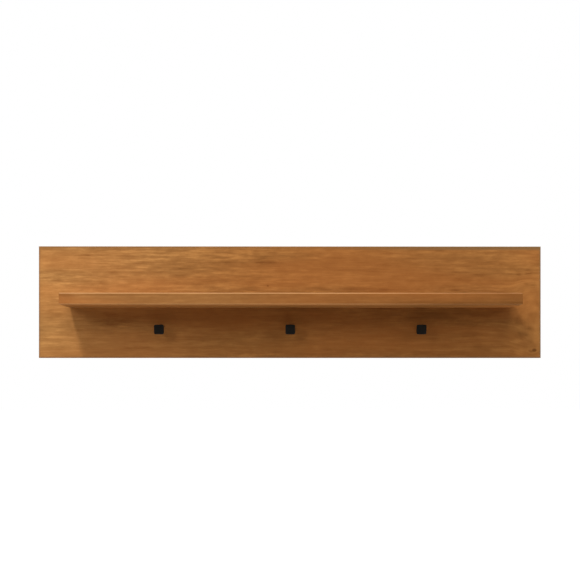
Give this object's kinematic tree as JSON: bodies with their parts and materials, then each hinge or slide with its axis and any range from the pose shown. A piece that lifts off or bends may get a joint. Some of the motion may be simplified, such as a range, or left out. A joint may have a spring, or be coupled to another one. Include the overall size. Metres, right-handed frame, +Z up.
{
  "type": "wall shelf",
  "caption": "Wooden wall shelf: a long back panel with a narrow shelf board across its middle and square black knobs below, hung on keyhole plates.",
  "frame": {"origin": "centre of the back panel's rear face, which lies against the wall", "axes": "+X to the right as seen from the room, +Y into the wall (the shelf stands out along -Y), +Z up"},
  "size_m": [0.9, 0.12, 0.2],
  "materials": {
    "stained_wood": "satin",
    "black_metal": "matte",
    "zinc_steel": "satin",
    "dowel_wood": "matte"
  },
  "bodies": {
    "root": {"back_panel": "stained_wood", "shelf_board": "stained_wood", "left_knob": "black_metal", "centre_knob": "black_metal", "right_knob": "black_metal", "left_knob_screw": "zinc_steel", "centre_knob_screw": "zinc_steel", "right_knob_screw": "zinc_steel", "left_shelf_screw": "zinc_steel", "centre_shelf_screw": "zinc_steel", "right_shelf_screw": "zinc_steel", "left_dowel": "dowel_wood", "right_dowel": "dowel_wood", "left_keyhole_plate": "zinc_steel", "right_keyhole_plate": "zinc_steel", "left_upper_plate_screw": "zinc_steel", "left_lower_plate_screw": "zinc_steel", "right_upper_plate_screw": "zinc_steel", "right_lower_plate_screw": "zinc_steel"}
  },
  "joints": []
}
